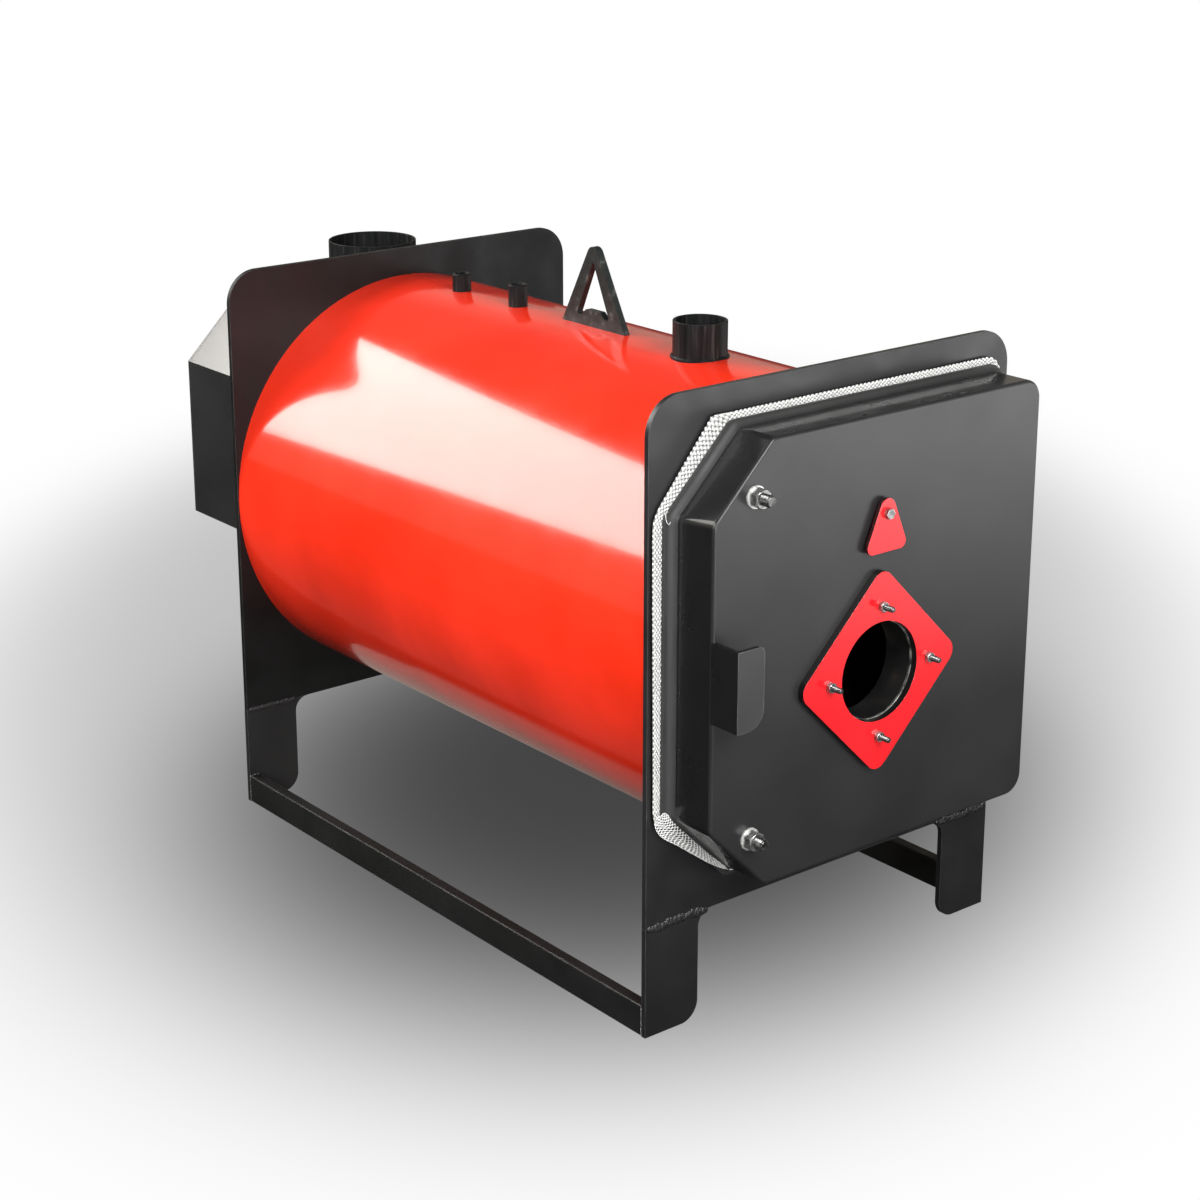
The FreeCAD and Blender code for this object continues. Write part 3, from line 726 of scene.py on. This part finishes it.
def pan_outline(out, depth):
    """The pan's outline this far outside its skirt, at this depth behind the door's face."""
    flare = skirt_flare * (depth - front_sheet) / skirt_depth
    left, right = door_low.x - flare - left_stretch * out, door_high.x
    low, high = door_low.z - out, door_high.z + out
    cut = pan_cut + (flare + (left_stretch - 1) * out) / 2 + out * (2 - math.sqrt(2))
    return rounded_path([(left, low + cut, left_bend), (left + cut, low, left_bend),
                         (right, low, right_bend), (right, high, right_bend),
                         (left + cut, high, left_bend), (left, high - cut, left_bend)])


hollow_radius, lap, behind_lip, inside_flange = 0.008, 0.0015, 0.0002, 0.001
behind_flange = flange_low.y - door_low.y
stations = []
for step in range(9):
    angle = math.pi / 2 * step / 8
    stations.append((hollow_radius * (1 - math.sin(angle)),
                     behind_flange + behind_lip - hollow_radius * (1 - math.cos(angle))))
stations += [(-lap, stations[-1][1]), (-lap, behind_flange + inside_flange),
             (hollow_radius, behind_flange + inside_flange), stations[0]]
outlines = [(pan_outline(out, depth), depth) for out, depth in stations]
round_count, station_count = len(outlines[0][0]), len(stations) - 1
bpy.ops.object.select_all(action="DESELECT")
bpy.ops.mesh.primitive_grid_add(x_subdivisions=round_count, y_subdivisions=station_count, size=1,
                                location=(0, 0, 0))
flange_hollow = bpy.context.object
flange_hollow.name = "door_flange_hollow"
for vertex in flange_hollow.data.vertices:
    outline, depth = outlines[round((vertex.co.y + 0.5) * station_count)]
    spot = outline[round((vertex.co.x + 0.5) * round_count) % round_count]
    vertex.co = (min(spot.x, flange_high.x), door_low.y + depth, spot.y)
closed_up(0.00001)
bpy.ops.object.shade_smooth_by_angle(angle=math.radians(50))
fitted(flange_hollow, flange_paint, "door")


# ---- Door rope
# White braided glass-fibre rope lies between the door's flange and the front plate, squeezed flat
# when the door is pulled shut. At the upper left it has crept out and spread, and at the lower left
# it is tucked under the flange and its braid has opened into a loose sleeve.

def fibre_yarn(name, shade, light):
    """Matt glass-fibre yarn, soiled here and there."""
    material = bpy.data.materials.new(name)
    nodes, links, shader, place = object_coordinates(material)
    strands = noise(nodes, links, place, 900.0, 3.0)
    soil = noise(nodes, links, place, 22.0, 6.0)
    fibre = ramp(nodes, links, strands,
                 [(0.35, (shade, shade, 0.98 * shade)), (0.6, (light, light, 0.99 * light))])
    links.new(mixed(nodes, links, spread(nodes, links, soil, -0.1, 0.18), fibre, (0.3, 0.29, 0.27)),
              shader.inputs["Base Color"])
    links.new(spread(nodes, links, soil, 0.75, 0.95), shader.inputs["Roughness"])
    bumped(nodes, links, shader, strands, 0.0004)
    return material


rope_fibre = fibre_yarn("glass_fibre_braid", 0.5, 0.72)
# The sleeve's yarn is paler than the braid's, as painted light where the door shades it.
painted_light_sleeve_fibre = fibre_yarn("glass_fibre_sleeve_painted_light", 0.66, 0.92)
# The heart under the stitches is dark grey, as painted shade in the gaps between them.
painted_shade_heart = fibre_yarn("glass_fibre_heart_painted_shade", 0.1, 0.22)
gasket_low, gasket_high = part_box("door_gasket")
half_rope, rope_cut, tight_bend, easy_bend = 0.0087, 0.1076, 0.018, 0.03
left, right = gasket_low.x + half_rope, gasket_high.x - half_rope
bottom, top = gasket_low.z + half_rope, gasket_high.z - half_rope
rope_points = rounded_path([
    (right, bottom, tight_bend), (right, top, tight_bend), (left + rope_cut, top, easy_bend),
    (left, top - rope_cut, easy_bend), (left, bottom + rope_cut, easy_bend),
    (left + rope_cut, bottom, easy_bend)])
rope_curve = bpy.data.curves.new("rope_path", "CURVE")
rope_curve.dimensions = "2D"
spline = rope_curve.splines.new("POLY")
spline.points.add(len(rope_points) - 1)
for point, spot in zip(spline.points, rope_points):
    point.co = (spot.x, spot.y, 0, 1)
spline.use_cyclic_u = True
rope_path = bpy.data.objects.new("rope_path", rope_curve)
bpy.context.scene.collection.objects.link(rope_path)
rope_length = sum((b - a).length for a, b in zip(rope_points, rope_points[1:] + rope_points[:1]))


def eased(value, start, end):
    """0 at start, 1 at end, smooth between."""
    share = min(1.0, max(0.0, (value - start) / (end - start)))
    return share * share * (3 - 2 * share)


flange_cut = 0.1068
upper_cut = flange_high.z - flange_low.x - flange_cut  # z - x on the flange's upper left edge
lower_cut = flange_low.z + flange_low.x + flange_cut  # x + z on its lower left edge
creep_gain, creep_start, creep_run, past_gasket = 1.25, 0.405, 0.2, 0.0008
tucked_in, held_back = 0.0085, 0.74


def along_the_rope(name, unit, pitch, welded=False):
    """Repeats a short length of braid, laid along X, all the way round the door, and settles it."""
    pick_up(unit)
    unit.name = name
    bpy.ops.object.transform_apply(location=True, rotation=True, scale=True)
    count = round(rope_length / pitch)
    shaped(unit, "ARRAY", count=count, use_relative_offset=False, use_constant_offset=True,
           constant_offset_displace=(pitch, 0, 0), use_merge_vertices=welded,
           merge_threshold=0.00005)
    unit.scale.x = rope_length / (count * pitch)
    bpy.ops.object.transform_apply(location=False, rotation=False, scale=True)
    shaped(unit, "CURVE", object=rope_path)
    unit.rotation_euler = (math.pi / 2, 0, 0)
    unit.location = (0, (gasket_low.y + gasket_high.y) / 2, 0)
    bpy.ops.object.transform_apply(location=True, rotation=True, scale=True)
    for vertex in unit.data.vertices:
        x, z = vertex.co.x, vertex.co.z
        out = (z - x - upper_cut) / math.sqrt(2)
        if out > 0:
            grown = min(1.0, max(0.0, (x + z - creep_start) / creep_run))
            creep = out * creep_gain * grown / math.sqrt(2)
            x = max(x - creep, gasket_low.x - past_gasket)
            z = min(z + creep, gasket_high.z + past_gasket)
        if x < flange_low.x:
            held = held_back + (1 - held_back) * eased(z, 0.3, 0.7)
            x = flange_low.x + (x - flange_low.x) * held
        tuck = tucked_in * eased(-z, -0.303, -0.28) * eased(-x, 0.15, 0.19) * (x < 0)
        vertex.co.x, vertex.co.z = x + tuck, z + tuck
    return unit


stitches = []
rows = (
    (0.0, 26, ((-0.0088, 0.0), (-0.0062, 0.0021), (-0.0012, 0.0024), (0.0038, 0.0024),
               (0.0082, 0.0016), (-0.0062, -0.002), (-0.0012, -0.0022))),
    (0.0036, -26, ((-0.0088, 0.0012), (-0.0088, -0.001), (-0.0037, 0.0024), (0.0013, 0.0024),
                   (0.0063, 0.0021), (-0.0037, -0.0022))),
)
for along, tilt, places in rows:
    for across, out in places:
        lean = math.radians(tilt if out >= 0 else -tilt)
        bpy.ops.object.select_all(action="DESELECT")
        bpy.ops.mesh.primitive_ico_sphere_add(
            subdivisions=1, radius=1, location=(along, across, out), rotation=(0, 0, lean))
        bpy.context.object.scale = (0.0029, 0.0022, 0.0014)
        stitches.append(bpy.context.object)
braid_pitch = 0.0072
braid = along_the_rope("door_rope_braid", joined("stitches", stitches), braid_pitch)
bpy.ops.object.mode_set(mode="EDIT")
bpy.ops.mesh.select_all(action="SELECT")
bpy.ops.transform.vertex_random(offset=0.0002, seed=5)
bpy.ops.object.mode_set(mode="OBJECT")
bpy.ops.object.shade_smooth()

bpy.ops.object.select_all(action="DESELECT")
bpy.ops.mesh.primitive_circle_add(vertices=16, radius=1, rotation=(0, math.pi / 2, 0))
core = bpy.context.object
bpy.ops.object.transform_apply(location=True, rotation=True, scale=True)
core_width, core_thickness, core_step = 0.009, 0.0024, 0.0062
core.scale = (1, core_width, core_thickness)
bpy.ops.object.transform_apply(location=True, rotation=True, scale=True)
bpy.ops.object.mode_set(mode="EDIT")
bpy.ops.mesh.extrude_region_move(TRANSFORM_OT_translate={"value": (core_step, 0, 0)})
bpy.ops.object.mode_set(mode="OBJECT")
core = along_the_rope("door_rope_core", core, core_step, welded=True)
closed_up(0.0002)
bpy.ops.object.shade_smooth()
bpy.data.objects.remove(rope_path)

loose_edges = (
    ((-0.3144, 0.3158), (-0.3123, 0.3015), (-0.3072, 0.2904), (-0.2998, 0.2824), (-0.2887, 0.2740),
     (-0.2762, 0.2659), (-0.2630, 0.2559), (-0.2496, 0.2461), (-0.2361, 0.2359), (-0.2225, 0.2261),
     (-0.2076, 0.2168), (-0.1924, 0.2084), (-0.1705, 0.2024)),
    ((-0.3017, 0.3205), (-0.2936, 0.3132), (-0.2845, 0.3054), (-0.2738, 0.2919), (-0.2632, 0.2801),
     (-0.2518, 0.2675), (-0.2403, 0.2555), (-0.2302, 0.2459), (-0.2201, 0.2365), (-0.2104, 0.2294),
     (-0.2009, 0.2226), (-0.1857, 0.2129), (-0.1705, 0.2044)),
)


def point_along(edge, share):
    """A point at this share of the way through a list of (x, z) points."""
    spot = min(1.0, max(0.0, share)) * (len(edge) - 1)
    first = min(int(spot), len(edge) - 2)
    return Vector(edge[first]).lerp(Vector(edge[first + 1]), spot - first)


bpy.ops.object.select_all(action="DESELECT")
bpy.ops.mesh.primitive_grid_add(x_subdivisions=28, y_subdivisions=4, size=1, location=(0, 0, 0))
sleeve = bpy.context.object
sleeve.name = "door_rope_loose_sleeve"
bpy.ops.object.mode_set(mode="EDIT")
bpy.ops.mesh.poke()
bpy.ops.mesh.select_mode(type="EDGE")
bpy.ops.mesh.select_all(action="DESELECT")
bpy.ops.object.mode_set(mode="OBJECT")
for edge in sleeve.data.edges:
    ends = [sleeve.data.vertices[v].co for v in edge.vertices]
    straight = any(abs(ends[0][axis] - ends[1][axis]) < 1e-5 for axis in (0, 1))
    edge.select = straight and all(min(abs(end[axis]) for end in ends) < 0.499 for axis in (0, 1))
bpy.ops.object.mode_set(mode="EDIT")
bpy.ops.mesh.dissolve_edges(use_verts=False)
bpy.ops.object.mode_set(mode="OBJECT")
flange_fold, sleeve_swell, on_flange = 0.0065, 0.0022, 0.0012
for vertex in sleeve.data.vertices:
    share, across = vertex.co.x + 0.5, vertex.co.y + 0.5
    spot = point_along(loose_edges[0], share).lerp(point_along(loose_edges[1], share), across)
    overhang = (lower_cut - spot.x - spot.y) / math.sqrt(2)
    drop = flange_fold * eased(overhang, -0.001, 0.007) * (1 - 0.6 * eased(share, 0.3, 0.6))
    swell = sleeve_swell * math.sin(math.pi * across)
    vertex.co = (spot.x, flange_low.y - on_flange + drop - swell, spot.y)
shaped(sleeve, "WIREFRAME", thickness=0.0013, use_even_offset=False)
shaped(sleeve, "SUBSURF", levels=1, render_levels=1)
bpy.ops.object.shade_smooth()

bpy.ops.object.select_all(action="DESELECT")
bpy.ops.mesh.primitive_torus_add(
    major_radius=0.008, minor_radius=0.0006, major_segments=24, minor_segments=6,
    location=(-0.2985, flange_low.y - 0.0004, 0.7095), rotation=(math.radians(78), 0, 0.3))
loose_end = bpy.context.object
loose_end.name = "door_rope_pulled_thread"
loose_end.scale = (0.6, 1, 1)
bpy.ops.object.transform_apply(location=True, rotation=True, scale=True)
bpy.ops.object.shade_smooth()
fitted(braid, rope_fibre, "door", "door_gasket")
for piece, yarn in ((core, painted_shade_heart), (sleeve, painted_light_sleeve_fibre), (loose_end, rope_fibre)):
    fitted(piece, yarn, "door")


# ---- Door insulation
# A cast block of pale refractory fills the pan behind the front sheet. It is dry, slightly pitted
# and tanned where the hot gas brushes it.

refractory = bpy.data.materials.new("refractory")
nodes, links, shader, place = object_coordinates(refractory)
pits = noise(nodes, links, place, 90.0, 10.0)
scorch = noise(nodes, links, place, 4.0, 5.0)
tan = ramp(nodes, links, scorch, [(0.4, (0.62, 0.58, 0.5)), (0.62, (0.42, 0.34, 0.25))])
links.new(mixed(nodes, links, spread(nodes, links, pits, 0.25, -0.1), tan, (0.2, 0.17, 0.14)),
          shader.inputs["Base Color"])
shader.inputs["Roughness"].default_value = 0.92
bumped(nodes, links, shader, pits, 0.0012)
finish_node("door_insulation", refractory)


# ---- Burner plate
# A square of 10 mm plate stood on its corner and bored for the burner's blast tube. Its face is
# painted in a thicker, redder gloss coat than the shell, its cut edge black.

burner_paint = sprayed_paint("burner_paint", (0.78, 0.012, 0.018), 0.12, 0.5)
edge_black = sprayed_paint("plate_edge_black", (0.008, 0.006, 0.006), 0.3, 0.1)


def cut_edge(piece, edge_paint):
    """Paints a plate's cut edge another colour than its two faces and the round of their edges."""
    piece.data.materials.append(edge_paint)
    for face in piece.data.polygons:
        face.material_index = 0 if abs(face.normal.y) > 0.3 else 1


burner_plate = bevelled_copy("burner_plate", 0.0006, 3)
fitted(burner_plate, burner_paint, "door", "burner_plate")
cut_edge(burner_plate, edge_black)


# ---- Burner hole rim
# The burner tunnel's front edge shows inside the plate's hole as a narrow ring of bare turned
# steel, dull but for a few brighter places.

tones = [(0.42, (0.03, 0.03, 0.03)), (0.64, (0.42, 0.42, 0.4))]
rim_steel = mottled("rim_steel", (60.0, 8.0), tones, (0.3, 0.5), 0.6, 0.0002)
tunnel_low, tunnel_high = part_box("burner_tunnel")
tunnel_middle = (tunnel_low + tunnel_high) / 2
tunnel_wall, rim_half, rim_back, rim_side, rim_front = 0.004, 0.0007, -0.002, 0.0008, 0.0012
flat_outer, flat_inner = 0.0004, 0.0003
bore = (tunnel_high.x - tunnel_low.x) / 2 - tunnel_wall
outward = (0, -1, 0)
hole_rim = turned("burner_hole_rim", (tunnel_middle.x, tunnel_low.y, tunnel_middle.z), outward,
                  [(bore + rim_half, rim_back), (bore + rim_half, rim_side),
                   (bore + flat_outer, rim_front), (bore - flat_inner, rim_front),
                   (bore - rim_half, rim_side), (bore - rim_half, rim_back),
                   (bore + rim_half, rim_back)], 96)
fitted(hole_rim, rim_steel, "door")


# ---- Screws, studs, nuts and washers
# Zinc-plated fasteners: four M8 studs and nuts for the burner, and two M16 screws with nuts and
# wide washers that pull the door shut. The threads are dull, the washers nearly white.

def thread_profile(radius, depth, pitch, end):
    """A stud along its axis: plain at its foot, ridged at every pitch, domed at the end."""
    profile = [(radius - depth, 0.0)]
    level = 0.0
    plain_tip, dome, dome_width = 0.0012, 0.0008, 0.0009
    while level + pitch < end - plain_tip:
        profile += [(radius, level + pitch * 0.5), (radius - depth, level + pitch)]
        level += pitch
    return profile + [(radius - depth, end - dome), (radius - depth - dome_width, end)]


def hexagon_nut(name, foot, axis, width, tall):
    """A nut: a hexagon prism cut by a cone at both ends, as a turned chamfer cuts it."""
    corner, seat = width / math.sqrt(3), width * 0.48
    nut = turned(name, foot, axis, [(corner, 0.0), (corner, tall)], 6)
    cone = turned(name + "_cone", foot, axis,
                  [(seat, 0.0), (corner * 1.02, tall * 0.2), (corner * 1.02, tall * 0.8),
                   (seat, tall)], 48)
    pick_up(nut)
    shaped(nut, "BOOLEAN", operation="INTERSECT", object=cone)
    bpy.data.objects.remove(cone)
    bpy.ops.object.shade_smooth_by_angle(angle=math.radians(20))
    return nut


thread_zinc = plated_zinc("thread_zinc", 0.05, 0.16, 0.4, 0.0004)
washer_zinc = plated_zinc("washer_zinc", 0.6, 0.85, 0.95, 0.0008, 0.55)
low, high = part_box("burner_studs")
burner_centre = (low + high) / 2
stud_radius, screw_radius = 0.004, 0.008
spread_x, spread_z = (high.x - low.x) / 2 - stud_radius, (high.z - low.z) / 2 - stud_radius
middle_x, middle_z = burner_centre.x, burner_centre.z
stud_spots = [(middle_x, middle_z + spread_z), (middle_x + spread_x, middle_z),
              (middle_x, middle_z - spread_z), (middle_x - spread_x, middle_z)]
face_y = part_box("burner_plate")[0].y
nut_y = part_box("burner_nuts")[0].y
studs = [turned(f"stud_{k}", (x, face_y, z), outward,
                thread_profile(stud_radius, 0.0006, 0.00125, face_y - low.y), 24)
         for k, (x, z) in enumerate(stud_spots)]
nuts = [hexagon_nut(f"small_nut_{k}", (x, face_y, z), outward, 0.013, face_y - nut_y)
        for k, (x, z) in enumerate(stud_spots)]
for name, pieces, node, material in (("burner_studs_threaded", studs, "burner_studs", thread_zinc),
                                     ("burner_nuts_chamfered", nuts, "burner_nuts", zinc)):
    fitted(joined(name, pieces), material, "door", node)

screw_low, screw_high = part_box("door_screws")
screw_x = (screw_low.x + screw_high.x) / 2
screw_rows = (screw_low.z + screw_radius, screw_high.z - screw_radius)
door_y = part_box("door_plate")[0].y
washer_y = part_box("door_washers")[0].y
big_nut_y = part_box("door_nuts")[0].y
screws = [turned(f"screw_{k}", (screw_x, screw_high.y, z), outward,
                 thread_profile(screw_radius, 0.0011, 0.002, screw_high.y - screw_low.y), 32)
          for k, z in enumerate(screw_rows)]
washer_profile = [(0.015, 0.0), (0.015, 0.0022), (0.0143, 0.003), (0.0092, 0.003), (0.0085, 0.0023),
                  (0.0085, 0.0), (0.015, 0.0)]
washers = [turned(f"washer_{k}", (screw_x, door_y, z), outward, washer_profile, 48)
           for k, z in enumerate(screw_rows)]
big_nuts = [hexagon_nut(f"big_nut_{k}", (screw_x, washer_y, z), outward, 0.024,
                        washer_y - big_nut_y)
            for k, z in enumerate(screw_rows)]
for name, pieces, node, material in (("door_screws_threaded", screws, "door_screws", thread_zinc),
                                     ("door_washers_turned", washers, "door_washers", washer_zinc),
                                     ("door_nuts_chamfered", big_nuts, "door_nuts", zinc)):
    fitted(joined(name, pieces), material, "door", node)


# ---- Handle
# A folded piece of 6 mm plate welded to the door's left edge; the fingers go behind its lip. Its
# faces are a slightly greyer satin than the door, its cut edges the skirt's gloss black.

handle_grey = satin_paint("handle_grey", (0.03, 0.03, 0.031), 0.34, (0.35, 0.35, 0.35),
                          edge_reach=0.0009, rubbed=0.1)
handle = bevelled_copy("door_handle", 0.0008, 3)
fitted(handle, handle_grey, "door", "door_handle")
cut_edge(handle, skirt_paint)


# ---- Sight hole and its cover
# A small glass behind the front sheet shows the flame. A red flap hangs over it from a zinc bolt
# and is pushed aside with a finger.

sight_cover = bevelled_copy("sight_cover", 0.0005)
fitted(sight_cover, burner_paint, "sight_flap", "sight_cover")
cut_edge(sight_cover, edge_black)
fitted(bevelled_copy("cover_bolt", 0.0004), zinc, "door", "cover_bolt")
glass = mottled("sight_glass", (120.0, 5.0), [(0.3, (0.5, 0.6, 0.55)), (0.7, (0.7, 0.8, 0.74))],
                (0.04, 0.2), 0.0, 0.0)
glass.node_tree.nodes["Principled BSDF"].inputs["Transmission Weight"].default_value = 0.7
finish_node("sight_glass", glass)
